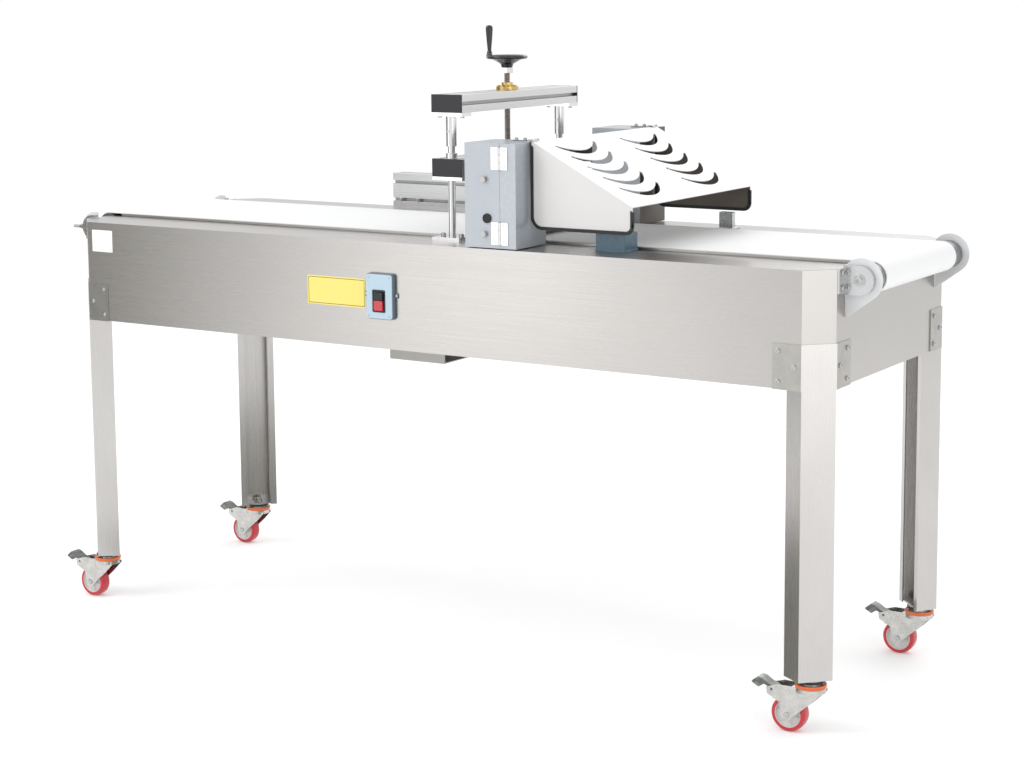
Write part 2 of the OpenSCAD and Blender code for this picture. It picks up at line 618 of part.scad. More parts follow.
// ---- guard hood ----
// side plate outline, grown by d, with its two lower corners rounded
module side2d(d) {
    r1 = 26; r2 = 16;
    x0 = hx0 - d; x1 = hx1 + d; z0 = hz0 - d;
    q1 = r1 + d; q2 = r2 + d;
    polygon([[x0, hzr], [x0, z0 + q1], [x0 + q1, z0 + q1], [x0 + q1, z0], [x1 - q2, z0],
        [x1 - q2, z0 + q2], [x1, z0 + q2], [x1, hzf - d * tan(hood_a)]]);
    translate([x0 + q1, z0 + q1]) circle(r = q1);
    translate([x1 - q2, z0 + q2]) circle(r = q2);
}
module crescent() {
    intersection() {
        difference() {
            translate([-69, 0]) circle(r = 111, $fn = 128);
            translate([-105, 0]) circle(r = 130, $fn = 128);
        }
        translate([2, -90]) square([60, 180]);
    }
    for (y = [-79.5, 79.5]) translate([2.2, y]) circle(r = 4.6);
}
module hood() at() color("whitesmoke") {
    both() plate_y(-hy, 2) side2d(0);
    // sloping top with the crescent slots
    translate([hx0, 0, hzr]) rotate([0, hood_a, 0]) translate([0, 0, -2]) linear_extrude(2) difference() {
        translate([0, -hy + 1]) square([hood_s, 2 * hy - 2]);
        for (i = [0:slot_rows - 1], y = [-141, 141]) translate([29 + i * slot_pitch, y]) crescent();
    }
    // hinge knuckles on the rear edge
    both() translate([hing_x, -276.6, hing_z]) difference() {
        union() {
            cyl_y(3, 19.2);
            translate([0, 0, -3]) cube([6, 19.2, 3]);
        }
        translate([0, -1, 0]) cyl_y(1.5 + e, 22);
    }
}
module hood_trim() at() color("black") both() difference() {
    plate_y(-hy - 2, 6) difference() {
        side2d(2.4);
        side2d(-5);
        // the top edge is left bare
        polygon([[hx0 - 20, hzr + 20 * tan(hood_a) - 9], [hx1 + 20, hzf - 20 * tan(hood_a) - 9],
            [hx1 + 20, hzr + 40], [hx0 - 20, hzr + 40]]);
    }
    plate_y(-hy - 0.01, 2.02) side2d(0.01);
}
module guard_block() at() color("steelblue") {
    translate([436, -263, lip_h]) cube([72, 59, 4]);
    translate([437, -262, lip_h + 3]) cube([70, 57, 37]);
}
module guard_post() at() color("silver") {
    translate([473, 230, lip_h]) cube([42, 44, 4]);
    translate([477, 240, lip_h + 3]) cube([34, 15, 37]);
}
module side_profile() at() color("silver") translate([-484, 317.5, lip_h]) rotate([90, 0, 90])
    linear_extrude(624) profile2d(45, 90, 1, 2);

caster_mounts();
caster_fork_fr();
caster_fork_fl();
caster_fork_br();
caster_fork_bl();
caster_wheel_fr();
caster_wheel_fl();
caster_wheel_br();
caster_wheel_bl();
caster_brake_fr();
caster_brake_fl();
caster_brake_br();
caster_brake_bl();
table_frame();
slider_bed();
cross_rails();
leg_fr();
leg_fl();
leg_br();
leg_bl();
frame_bolts();
label_plates();
belt();
drum_right();
drum_left();
drum_axles();
bearing_plates();
side_guards();
drive_drum();
snub_roller_right();
snub_roller_left();
drive_tray();
gearmotor();
switch_box();
start_button();
stop_button();
guide_columns();
column_sleeves();
upper_beam();
lower_beam();
upper_beam_caps();
lower_beam_caps();
slide_bushes();
lift_screw();
handwheel();
crank_grip();
screw_nut();
head_box_near();
head_box_far();
door_near();
door_far();
press_roller();
head_motor();
hood();
hood_trim();
guard_block();
guard_post();
side_profile();
head_brackets();
head_bolts();
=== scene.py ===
"""Belt conveyor table with a height-adjustable press head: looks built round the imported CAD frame."""
import math

import bmesh
import bpy
from mathutils import Matrix, Vector


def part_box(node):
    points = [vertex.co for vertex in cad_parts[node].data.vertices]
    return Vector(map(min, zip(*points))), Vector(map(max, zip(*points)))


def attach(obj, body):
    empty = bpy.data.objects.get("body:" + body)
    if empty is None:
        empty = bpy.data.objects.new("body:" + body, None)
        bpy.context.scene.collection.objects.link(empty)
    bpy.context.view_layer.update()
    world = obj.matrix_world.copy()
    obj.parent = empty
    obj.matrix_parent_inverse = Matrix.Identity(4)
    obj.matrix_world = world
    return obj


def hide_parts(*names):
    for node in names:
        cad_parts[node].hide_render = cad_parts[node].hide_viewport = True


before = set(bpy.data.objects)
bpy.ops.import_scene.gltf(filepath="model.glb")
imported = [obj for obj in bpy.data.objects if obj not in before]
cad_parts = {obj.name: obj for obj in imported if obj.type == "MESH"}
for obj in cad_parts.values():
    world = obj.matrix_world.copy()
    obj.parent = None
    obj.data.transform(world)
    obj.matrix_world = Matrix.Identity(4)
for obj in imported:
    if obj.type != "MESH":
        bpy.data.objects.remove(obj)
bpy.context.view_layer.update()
MM = 0.001

# ---- places: the first ones are read from the CAD nodes, the rest are the part's own sizes in mm ----
_lo, _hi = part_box("table_frame")
MID = (_lo + _hi) / 2
LIP = _hi.z / MM                      # height of the table's lip
DRUM = {}                             # end drums' axes: along the table from its middle, and above the floor
for _end in ("right", "left"):
    _lo, _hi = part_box("drum_" + _end)
    DRUM[_end] = (((_lo + _hi) / 2 - MID).x / MM, ((_lo + _hi) / 2).z / MM)
APRON_Y = 340                         # half the table's width, over its aprons
HOUSING_Y = 336                       # outer face of each head housing
COLUMN_Y = 233                        # guide rods, either side of the middle
SCREW_X = 52.5                        # lift screw and guide rods, along the table
HINGE_X = 244                         # pins of the door hinges, along the table
LEAF_T = 1.75                         # a hinge leaf, with its paint
YELLOW_AT = (-192.5, LIP - 119)       # middle of the yellow plate on the near apron
SWITCH_AT = (-66, LIP - 121.25)       # middle of the switch box
WELL_AT = (-67, LIP - 131.5)          # middle of the recess with the two buttons


def place(x, y, z):
    """Millimetres from the table's middle and the floor, as a point in metres."""
    return Vector((MID.x + x * MM, MID.y + y * MM, z * MM))


# ---- materials ----
class Nodes:
    """A material's node tree, with short calls to add to it."""

    def __init__(self, name):
        self.mat = bpy.data.materials.new(name)
        self.mat.use_nodes = True
        self.tree = self.mat.node_tree
        self.bsdf = self.tree.nodes["Principled BSDF"]
        self.coord = self.add("ShaderNodeTexCoord").outputs["Object"]

    def add(self, kind, **settings):
        node = self.tree.nodes.new(kind)
        for key, value in settings.items():
            setattr(node, key, value)
        return node

    def link(self, a, b):
        self.tree.links.new(a, b)

    def noise(self, detail, scale=(1, 1, 1), size=1.0):
        mapping = self.add("ShaderNodeMapping")
        mapping.inputs["Scale"].default_value = scale
        self.link(self.coord, mapping.inputs["Vector"])
        tex = self.add("ShaderNodeTexNoise")
        tex.inputs["Scale"].default_value = size
        tex.inputs["Detail"].default_value = detail
        tex.inputs["Roughness"].default_value = 0.55
        self.link(mapping.outputs["Vector"], tex.inputs["Vector"])
        return tex.outputs["Fac"]

    def remap(self, fac, lo, hi, start=0.3, end=0.7):
        node = self.add("ShaderNodeMapRange")
        for key, value in (("From Min", start), ("From Max", end), ("To Min", lo), ("To Max", hi)):
            node.inputs[key].default_value = value
        self.link(fac, node.inputs["Value"])
        return node.outputs["Result"]

    def mix(self, fac, a, b):
        """Mixes two colours, each a socket or red, green and blue."""
        node = self.add("ShaderNodeMix", data_type="RGBA")
        self.link(fac, node.inputs[0])
        for socket, value in ((node.inputs[6], a), (node.inputs[7], b)):
            if hasattr(value, "is_output"):
                self.link(value, socket)
            else:
                socket.default_value = (*value, 1.0)
        return node.outputs[2]

    def multiply(self, a, b):
        node = self.add("ShaderNodeMath", operation="MULTIPLY")
        self.link(a, node.inputs[0])
        self.link(b, node.inputs[1])
        return node.outputs[0]


BARE_METAL = (0.7, 0.7, 0.7)          # what shows where an edge is worn


def finish_of(name, color, metallic, rough, grain=(300, 300, 300), grain_rough=0.06, bump=0.05,
              height=0.0002, mottle=0.06, mottle_size=6.0, wear=0.0, coat=0.0, spec=0.5, subsurface=0.0):
    """A finish with slow colour drift, fine grain in roughness and bump, and optional worn edges."""
    n = Nodes(name)
    dark = tuple(c * (1 - mottle) for c in color)
    light = tuple(min(1.0, c * (1 + mottle * 0.6)) for c in color)
    base = n.mix(n.remap(n.noise(size=mottle_size, detail=4), 0.0, 1.0), dark, light)
    grainy = n.noise(scale=grain, detail=2)
    base = n.mix(n.remap(grainy, 0.0, 0.35), base, tuple(c * (1 - mottle * 0.8) for c in color))
    roughness = n.remap(grainy, rough - grain_rough, rough + grain_rough)
    if wear:
        geo = n.add("ShaderNodeNewGeometry")
        edge = n.remap(geo.outputs["Pointiness"], 0.0, 1.0, 0.52, 0.60)
        worn = n.multiply(edge, n.remap(n.noise(size=90.0, detail=5), 0.0, wear, 0.42, 0.62))
        base = n.mix(worn, base, BARE_METAL)
        if metallic == 0.0:
            n.link(worn, n.bsdf.inputs["Metallic"])
    n.link(base, n.bsdf.inputs["Base Color"])
    n.link(roughness, n.bsdf.inputs["Roughness"])
    n.bsdf.inputs["Metallic"].default_value = metallic
    n.bsdf.inputs["Coat Weight"].default_value = coat
    n.bsdf.inputs["Coat Roughness"].default_value = 0.12
    n.bsdf.inputs["Specular IOR Level"].default_value = spec
    n.bsdf.inputs["Subsurface Weight"].default_value = subsurface
    bumps = n.add("ShaderNodeBump")
    bumps.inputs["Strength"].default_value = bump
    bumps.inputs["Distance"].default_value = height
    n.link(grainy, bumps.inputs["Height"])
    n.link(bumps.outputs["Normal"], n.bsdf.inputs["Normal"])
    return n.mat


ALONG_X, ALONG_Y, ALONG_Z = (5, 900, 900), (900, 5, 900), (900, 900, 5)
M = {
    "sheet": finish_of("stainless_sheet", (0.485, 0.470, 0.455), 1.0, 0.29, ALONG_X, 0.028, 0.05,
                       mottle=0.04, mottle_size=2.5),
    "sheet_end": finish_of("stainless_upright", (0.56, 0.545, 0.53), 1.0, 0.26, ALONG_Z, 0.035, 0.06,
                           mottle=0.05),
    # painted shade: the legs' tabs and the door knobs are coloured darker than the uprights
    "tab_painted_shade": finish_of("stainless_tab_painted_shade", (0.43, 0.42, 0.395), 1.0, 0.32, (420, 420, 420), 0.08, 0.10,
                     mottle=0.16, mottle_size=18),
    "tray": finish_of("tray_sheet", (0.37, 0.362, 0.345), 1.0, 0.36, ALONG_X, 0.04, 0.06, mottle=0.08),
    # painted shade: the dark inside of the drive tray
    "shade": finish_of("painted_shade_inner_metal", (0.10, 0.10, 0.10), 0.6, 0.55, mottle=0.12, mottle_size=30),
    # painted shade: the slots of the profiles, darker than the profiles' faces
    "slot": finish_of("slot_painted_shade", (0.43, 0.43, 0.435), 1.0, 0.40, mottle=0.06),
    "rail": finish_of("galvanised_rail", (0.46, 0.46, 0.46), 1.0, 0.45, mottle=0.14, mottle_size=40),
    "bright": finish_of("bright_steel", (0.74, 0.74, 0.74), 1.0, 0.17, ALONG_Z, 0.06, 0.06),
    "turned": finish_of("turned_steel", (0.60, 0.60, 0.60), 1.0, 0.22, ALONG_Y, 0.06, 0.08),
    "bolt": finish_of("bolt_steel", (0.52, 0.52, 0.52), 1.0, 0.26, mottle=0.1, mottle_size=60),
    "zinc": finish_of("zinc_plate", (0.60, 0.595, 0.575), 1.0, 0.26, mottle=0.18, mottle_size=55, wear=0.3),
    "drum": finish_of("dull_drum_steel", (0.26, 0.26, 0.27), 1.0, 0.38, ALONG_Y, 0.08, 0.10),
    "cast": finish_of("cast_plate", (0.60, 0.605, 0.61), 1.0, 0.24, (220, 220, 220), 0.08, 0.15, mottle=0.08),
    "belt": finish_of("white_belt", (0.80, 0.81, 0.805), 0.0, 0.55, (1400, 1400, 1400), 0.06, 0.25, 0.0001,
                      mottle=0.02, mottle_size=3, spec=0.35),
    "white_plastic": finish_of("white_plastic", (0.66, 0.67, 0.68), 0.0, 0.38, bump=0.04, mottle=0.02,
                               coat=0.1),
    "tread": finish_of("red_polyurethane", (0.50, 0.016, 0.028), 0.0, 0.28, (500, 500, 500), 0.08, 0.08,
                       mottle=0.16, mottle_size=30, coat=0.3, subsurface=0.05),
    "hub": finish_of("hub_nylon", (0.62, 0.60, 0.585), 0.0, 0.42, bump=0.06, mottle=0.05, mottle_size=40),
    "orange": finish_of("orange_ring", (0.72, 0.13, 0.025), 0.0, 0.42, bump=0.06, mottle=0.08,
                        mottle_size=40),
    "pedal": finish_of("pedal_steel", (0.15, 0.16, 0.15), 0.85, 0.32, mottle=0.2, mottle_size=70, wear=0.5),
    "cap": finish_of("cap_plastic", (0.022, 0.022, 0.025), 0.0, 0.42, (700, 700, 700), 0.06, 0.12,
                     mottle=0.15, spec=0.4),
    "black": finish_of("black_plastic", (0.014, 0.014, 0.016), 0.0, 0.34, (700, 700, 700), 0.06, 0.12,
                       mottle=0.2, spec=0.45),
    "gloss_black": finish_of("gloss_black_plastic", (0.012, 0.012, 0.013), 0.0, 0.20, (500, 500, 500), 0.04,
                             0.03, mottle=0.2, coat=0.3),
    "rubber": finish_of("black_rubber", (0.016, 0.016, 0.017), 0.0, 0.58, (900, 900, 900), 0.08, 0.25,
                        mottle=0.25),
    "paint": finish_of("blue_grey_paint", (0.40, 0.43, 0.465), 0.35, 0.36, (420, 420, 420), 0.06, 0.22,
                       0.0003, mottle=0.02, wear=0.08, coat=0.15),
    "hood": finish_of("white_paint", (0.64, 0.63, 0.62), 0.0, 0.36, (420, 420, 420), 0.06, 0.14, 0.0003,
                      mottle=0.02, mottle_size=5, coat=0.2),
    # dark colour inside the hood; on the far housing's face under the hood it is painted shade
    "dark_inside_and_painted_shade": finish_of("hood_dark_inside_and_painted_shade", (0.115, 0.098, 0.084), 0.0, 0.50, (420, 420, 420), 0.06, 0.14,
                             0.0003, mottle=0.10, mottle_size=9),
    "block": finish_of("blue_block_paint", (0.055, 0.118, 0.170), 0.0, 0.36, bump=0.15, mottle=0.04,
                       wear=0.12, coat=0.2),
    "motor": finish_of("motor_paint", (0.10, 0.125, 0.145), 0.0, 0.42, (420, 420, 420), 0.08, 0.3, 0.0003,
                       mottle=0.06, wear=0.4),
    "yellow": finish_of("yellow_film", (0.79, 0.66, 0.16), 0.0, 0.32, bump=0.02, mottle=0.03, coat=0.25),
    "white_film": finish_of("white_film", (0.84, 0.84, 0.83), 0.0, 0.32, bump=0.02, mottle=0.02, coat=0.25),
    "switch": finish_of("switch_face", (0.42, 0.55, 0.64), 0.0, 0.42, (600, 600, 600), 0.05, 0.12,
                        mottle=0.03),
    "switch_back": finish_of("switch_back", (0.13, 0.16, 0.19), 0.0, 0.46, (600, 600, 600), 0.05, 0.12,
                             mottle=0.06),
    "red": finish_of("red_button", (0.50, 0.018, 0.030), 0.0, 0.26, bump=0.03, mottle=0.05, coat=0.4),
    "profile": finish_of("anodised_profile", (0.66, 0.665, 0.66), 1.0, 0.30, ALONG_Y, 0.06, 0.10,
                         mottle=0.03),
    "profile_x": finish_of("anodised_side_profile", (0.66, 0.665, 0.67), 1.0, 0.30, ALONG_X, 0.06, 0.10,
                           mottle=0.03),
    "screw": finish_of("oiled_screw", (0.30, 0.255, 0.225), 1.0, 0.28, mottle=0.25, mottle_size=120),
    "brass": finish_of("brass", (0.66, 0.46, 0.17), 1.0, 0.24, ALONG_Z, 0.06, 0.06, mottle=0.12,
                       mottle_size=40),
    "dark_paint": finish_of("black_bracket_paint", (0.028, 0.029, 0.032), 0.0, 0.42, bump=0.2, mottle=0.1,
                            wear=0.12),
}


# ---- mesh building ----
SHARP_ANGLE = 35                      # degrees between faces above which an edge counts as sharp


def add_object(name, bm, material, body, node=None, bevel=0.0, smooth=True):
    """Turns a bmesh in metres into a piece that rides on a body."""
    bmesh.ops.recalc_face_normals(bm, faces=bm.faces)
    mesh = bpy.data.meshes.new(name)
    bm.to_mesh(mesh)
    bm.free()
    obj = bpy.data.objects.new(name, mesh)
    bpy.context.scene.collection.objects.link(obj)
    mesh.materials.append(M[material])
    soften(obj, bevel, smooth)
    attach(obj, body)
    if node:
        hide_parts(node)


def soften(obj, bevel, smooth=True):
    """Shades a piece smoothly and rounds its sharp edges by a bevel in mm."""
    mesh = obj.data
    if smooth:
        mesh.polygons.foreach_set("use_smooth", [True] * len(mesh.polygons))
    if bevel:
        mod = obj.modifiers.new("edge", "BEVEL")
        mod.width = bevel * MM
        mod.segments = 2
        mod.limit_method = "ANGLE"
        mod.angle_limit = math.radians(SHARP_ANGLE)
        mod.harden_normals = True
        mod.use_clamp_overlap = True
    elif smooth:
        mesh.set_sharp_from_angle(angle=math.radians(SHARP_ANGLE))


AXES = {
    "X": Matrix(((0, 0, 1), (0, 1, 0), (-1, 0, 0))).to_4x4(),
    "Y": Matrix(((1, 0, 0), (0, 0, 1), (0, -1, 0))).to_4x4(),
    "Z": Matrix.Identity(4),
    "-Y": Matrix(((1, 0, 0), (0, 0, -1), (0, 1, 0))).to_4x4(),
    "-X": Matrix(((0, 0, -1), (0, 1, 0), (1, 0, 0))).to_4x4(),
}


def wall(bm, a, b):
    """Joins two closed rows of as many points with a band of faces."""
    for i in range(len(a)):
        j = (i + 1) % len(a)
        bm.faces.new((a[i], a[j], b[j], b[i]))


def bar(bm, a, b):
    """Closes two outlines of as many points into a solid."""
    bm.faces.new(a)
    bm.faces.new(b[::-1])
    wall(bm, a, b)


def lathe(bm, profile, at, axis, steps):
    """Adds a turned shape: profile is (radius, height) pairs in mm, from one end on the axis to the other."""
    stand = Matrix.Translation(at) @ AXES[axis]
    rings = []
    for r, h in profile:
        if r < 1e-6:
            rings.append([bm.verts.new(stand @ Vector((0, 0, h * MM)))])
        else:
            rings.append([bm.verts.new(stand @ Vector((r * MM * math.cos(a), r * MM * math.sin(a), h * MM)))
                          for a in (2 * math.pi * i / steps for i in range(steps))])
    pairs = list(zip(rings, rings[1:]))
    if profile[0][0] > 1e-6:
        pairs.append((rings[-1], rings[0]))
    for low, high in pairs:
        for i in range(steps):
            j = (i + 1) % steps
            ring = [low[i % len(low)], low[j % len(low)], high[j % len(high)], high[i % len(high)]]
            face = list(dict.fromkeys(ring))
            if len(face) > 2:
                bm.faces.new(face)


def prism(bm, outline, at, depth, axis):
    """Adds an extruded outline: points in mm in the plane across the axis."""
    stand = Matrix.Translation(at) @ AXES[axis]
    low = [bm.verts.new(stand @ Vector((x * MM, y * MM, 0))) for x, y in outline]
    high = [bm.verts.new(stand @ Vector((x * MM, y * MM, depth * MM))) for x, y in outline]
    bm.faces.new(low[::-1])
    bm.faces.new(high)
    wall(bm, low, high)


def slab(bm, x0, x1, y0, y1, z0, z1):
    """Adds a plain block between two corners, in mm from the table's middle."""
    corners = [place(x, y, z) for z in (z0, z1) for x, y in ((x0, y0), (x1, y0), (x1, y1), (x0, y1))]
    v = [bm.verts.new(c) for c in corners]
    for f in ((3, 2, 1, 0), (4, 5, 6, 7), (0, 1, 5, 4), (1, 2, 6, 5), (2, 3, 7, 6), (3, 0, 4, 7)):
        bm.faces.new([v[i] for i in f])


def rounded(w, h, r, cx, cy):
    """Outline of a rectangle with round corners, in mm."""
    steps = 5
    pts = []
    for sx, sy, start in ((1, 1, 0), (-1, 1, 90), (-1, -1, 180), (1, -1, 270)):
        for k in range(steps + 1):
            a = math.radians(start + 90 * k / steps)
            pts.append((cx + sx * (w / 2 - r) + r * math.cos(a), cy + sy * (h / 2 - r) + r * math.sin(a)))
    return pts


def hexagon(r):
    """Outline of a hexagon, by the radius over its corners in mm."""
    return [(r * math.cos(math.radians(60 * k)), r * math.sin(math.radians(60 * k))) for k in range(6)]


def ring_plate(bm, outer, inner, at, depth):
    """Adds a plate with an opening: both outlines have the same number of points."""
    rows = [[bm.verts.new(at @ Vector((x * MM, y * MM, h * MM))) for x, y in line]
            for line, h in ((outer, 0), (outer, depth), (inner, depth), (inner, 0))]
    for a, b in zip(rows, rows[1:] + rows[:1]):
        wall(bm, a, b)


# ---- CAD nodes that keep their shape: material and softened edges ----
def dress(node, material, bevel):
    """Gives a CAD node its finish and softened edges, and leaves its mesh as it is."""
    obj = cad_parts[node]
    mesh = obj.data
    if "custom_normal" in mesh.attributes:
        mesh.attributes.remove(mesh.attributes["custom_normal"])
    weld = obj.modifiers.new("weld", "WELD")
    weld.merge_threshold = 1e-5
    mesh.materials.clear()
    mesh.materials.append(M[material])
    soften(obj, bevel)


CORNERS = {"fr": (1, -1), "fl": (-1, -1), "br": (1, 1), "bl": (-1, 1)}
SHAPES = {
    "table_frame": ("sheet", 0.9), "slider_bed": ("sheet", 0.6), "cross_rails": ("rail", 0.6),
    "drive_tray": ("tray", 0.8), "bearing_plates": ("cast", 0.9), "side_guards": ("white_plastic", 0.8),
    "belt": ("belt", 0.5), "drum_right": ("drum", 0.5), "drum_left": ("drum", 0.5),
    "drum_axles": ("turned", 0.6), "drive_drum": ("drum", 0.5), "snub_roller_right": ("drum", 0.5),
    "snub_roller_left": ("drum", 0.5),
    "start_button": ("black", 1.2), "stop_button": ("red", 1.2),
    "guide_columns": ("bright", 0.6), "column_sleeves": ("bright", 0.6), "slide_bushes": ("bright", 0.6),
    "upper_beam": ("profile", 0.4), "lower_beam": ("profile", 0.4), "side_profile": ("profile_x", 0.4),
    "upper_beam_caps": ("cap", 1.2), "lower_beam_caps": ("cap", 1.2), "screw_nut": ("brass", 0.7),
    "head_box_near": ("paint", 0.9), "head_box_far": ("paint", 0.9), "door_near": ("paint", 0.8),
    "door_far": ("paint", 0.8), "press_roller": ("turned", 0.8), "hood": ("hood", 0.7),
    "hood_trim": ("rubber", 1.0),
    "guard_block": ("block", 1.2), "guard_post": ("cast", 0.8), "head_brackets": ("dark_paint", 0.8),
    "head_bolts": ("bolt", 0.5), "caster_mounts": ("zinc", 0.6),
}
for key in CORNERS:
    SHAPES["leg_" + key] = ("sheet_end", 0.8)
    SHAPES["caster_fork_" + key] = ("zinc", 0.8)
    SHAPES["caster_brake_" + key] = ("pedal", 0.9)
for name, (material, bevel) in SHAPES.items():
    dress(name, material, bevel)
# the hood is coloured dark inside, and the far housing's face under it gets the same dark colour as painted
# shade
for node in ("hood", "head_box_far"):
    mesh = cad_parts[node].data
    mesh.materials.append(M["dark_inside_and_painted_shade"])
    for face in mesh.polygons:
        inward = face.normal.y * (face.center.y - MID.y)
        if node == "hood":
            painted_dark = face.normal.z < -0.5 or (abs(face.normal.y) > 0.9 and inward < 0)
        else:
            painted_dark = face.normal.x > 0.9
        if painted_dark:
            face.material_index = 1
# the slots of the aluminium profiles are rougher than their faces and coloured darker, and the inside of the
# tray is dark: both darker colours are painted shade in the recesses
for node in ("side_profile", "upper_beam", "lower_beam", "drive_tray"):
    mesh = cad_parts[node].data
    mesh.materials.append(M["shade" if node == "drive_tray" else "slot"])
    lo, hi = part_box(node)
    middle = (lo + hi) / 2
    for face in mesh.polygons:
        if node == "drive_tray":
            inner = (face.center - middle).dot(face.normal) < 0 or face.normal.z > 0.9
        else:
            across = (1, 2) if node == "side_profile" else (0, 2)
            inner = all(lo[k] + MM < face.center[k] < hi[k] - MM for k in across)
            along = 0 if node == "side_profile" else 1
            inner = inner and abs(face.normal[along]) < 0.5
        if inner:
            face.material_index = 1
# the bolted tabs of the legs are rougher than the polished uprights, and coloured darker as painted shade
for key in CORNERS:
    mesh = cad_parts["leg_" + key].data
    mesh.materials.append(M["tab_painted_shade"])
    for face in mesh.polygons:
        square_on = max(abs(face.normal.x), abs(face.normal.y)) > 0.99
        if face.center.z > (LIP - 239) * MM and square_on:
            face.material_index = 1

# ---- casters: two-part wheels, seal rings and dark top plates ----
WHEEL_R = 37.5
for key in CORNERS:
    lo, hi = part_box("caster_wheel_" + key)
    axle = (lo + hi) / 2
    bm = bmesh.new()
    tread = [(28.6, -13.2), (31.0, -13.9), (34.6, -13.6), (36.6, -11.6), (37.3, -8.0), (WHEEL_R, -4.0),
             (WHEEL_R, 4.0), (37.3, 8.0), (36.6, 11.6), (34.6, 13.6), (31.0, 13.9), (28.6, 13.2)]
    lathe(bm, tread, axle, "Y", 72)
    add_object("tread_" + key, bm, "tread", "wheel_" + key, "caster_wheel_" + key)
    bm = bmesh.new()
    hub = [(4.1, -14.4), (8.6, -14.4), (9.4, -13.6), (10.0, -9.6), (13.0, -8.0), (24.0, -7.6), (26.4, -9.5),
           (27.4, -12.9), (28.7, -13.1), (28.7, 13.1), (27.4, 12.9), (26.4, 9.5), (24.0, 7.6), (13.0, 8.0),
           (10.0, 9.6), (9.4, 13.6), (8.6, 14.4), (4.1, 14.4)]
    lathe(bm, hub, axle, "Y", 64)
    for i in range(6):
        spin = Matrix.Rotation(math.radians(60 * i + 15), 4, "Y")
        for side in (-1, 1):
            rib = [(9.6, 9.0), (26.6, 9.4), (26.6, 7.0), (9.6, 7.0)]
            bar(bm, *[[bm.verts.new(axle + spin @ Vector((r * MM, side * h * MM, dy * MM))) for r, h in rib]
                      for dy in (-1.1, 1.1)])
    add_object("hub_" + key, bm, "hub", "wheel_" + key)
    # swivel parts
    swivel = Vector((axle.x + 45 * MM, axle.y, 0))
    bm = bmesh.new()
    ring = [(27.0, 100.2), (31.6, 100.2), (32.3, 101.4), (32.5, 104.0), (32.1, 106.6), (31.4, 107.3),
            (27.0, 107.3)]
    lathe(bm, ring, swivel, "Z", 64)
    add_object("seal_ring_" + key, bm, "orange", "table")
    # a top plate under each leg's foot, coloured black as painted shade under the foot
    bm = bmesh.new()
    pad = [(0, 110.6), (26.6, 110.6), (27.6, 111.6), (27.6, 116.0), (27.0, 116.9), (0, 116.9)]
    lathe(bm, pad, swivel, "Z", 56)
    add_object("top_plate_painted_shade_" + key, bm, "rubber", "table")
    bm = bmesh.new()
    for side, facing in ((-1, "-Y"), (1, "Y")):
        end = Vector((axle.x, axle.y + side * 19.0 * MM, axle.z))
        cap = [(0, 0.0), (6.4, 0.0), (6.6, 0.6), (6.4, 1.6), (4.6, 2.0), (4.4, 2.6), (0, 3.0)]
        lathe(bm, cap, end, facing, 32)
    add_object("axle_rivets_" + key, bm, "bolt", "swivel_" + key)

# ---- bolts of the table: domed heads with sockets and washers ----
BOLT_HEAD = [(0, 0.2), (5.6, 0.2), (5.9, 0.7), (4.9, 0.9), (4.8, 2.4), (4.2, 3.5), (2.6, 3.9), (2.2, 3.9),
             (2.1, 1.9), (0, 1.9)]


def bolt(bm, at, axis, scale=1.0):
    """Adds a domed bolt head at a point, facing out along an axis."""
    lathe(bm, [(r * scale, h * scale) for r, h in BOLT_HEAD], at, axis, 28)


def turned_out(sx, sy, x, y, z, axis):
    """A point in the corner or on the side that the signs name, and the axis that leaves the table there."""
    return place(sx * x, sy * y, z), {"X": "X" if sx > 0 else "-X", "Y": "Y" if sy > 0 else "-Y"}[axis]


bm = bmesh.new()
TAB = LIP - 240
for sx, sy in CORNERS.values():
    for x, z in ((899, 77), (934, 46), (899, 15)):
        bolt(bm, *turned_out(sx, sy, x, 342.5, TAB + z, "Y"))
    for y, z in ((239, 77), (274, 46), (239, 15)):
        bolt(bm, *turned_out(sx, sy, 1002.5, y, TAB + z, "X"))
for sy in (-1, 1):
    for dx in (-24, 24):
        at = place(SCREW_X + dx, sy * COLUMN_Y, LIP + 8)
        lathe(bm, [(0, 0), (5.6, 0), (5.8, 0.8), (5.8, 6.2), (5.2, 6.9), (3.2, 6.9), (3.0, 3.6), (0, 3.6)],
              at, "Z", 28)
    for z in (-15, 15):
        bolt(bm, *turned_out(1, sy, 1010, 258, DRUM["right"][1] + z, "Y"), 0.9)
        bolt(bm, *turned_out(1, sy, -1010, 258, DRUM["left"][1] + z * 1.3, "Y"))
        bolt(bm, *turned_out(1, sy, 1004, 272, DRUM["right"][1] + z, "X"), 1.1)
    for x, z in DRUM.values():
        at, axis = turned_out(1, sy, x, 258, z, "Y")
        lathe(bm, [(0, 0), (12.5, 0), (12.8, 0.6), (12.4, 1.4), (8.4, 1.6), (8.0, 4.2), (7.2, 4.9),
                   (4.4, 4.9), (4.0, 2.4), (0, 2.4)], at, axis, 40)
    stud = place(DRUM["left"][0] - 63, sy * 252, DRUM["left"][1])
    thread = [(0, 0), (3.4, 0)]
    for k in range(25):
        thread += [(4.0, 0.5 + 1.25 * k), (3.35, 1.1 + 1.25 * k)]
    thread += [(3.9, 32.6), (0, 32.6)]
    lathe(bm, thread, stud, "X", 28)
    prism(bm, hexagon(6.3), stud + Vector((22 * MM, 0, 0)), 8, "X")
for x in (-459, -407):
    lathe(bm, [(0, 0), (4.5, 0), (4.7, 0.8), (4.4, 4.4), (3.9, 5.0), (2.3, 5.0), (2.2, 2.4), (0, 2.4)],
          place(x, 295, LIP + 22.5), "-Y", 32)
for x in (-107.2, -24.6):
    lathe(bm, [(0, 0), (3.1, 0), (3.1, 0.7), (2.0, 1.7), (0, 1.9)], place(x, -343, LIP - 118), "-Y", 24)
add_object("table_bolts", bm, "bolt", "table", "frame_bolts", 0.25)

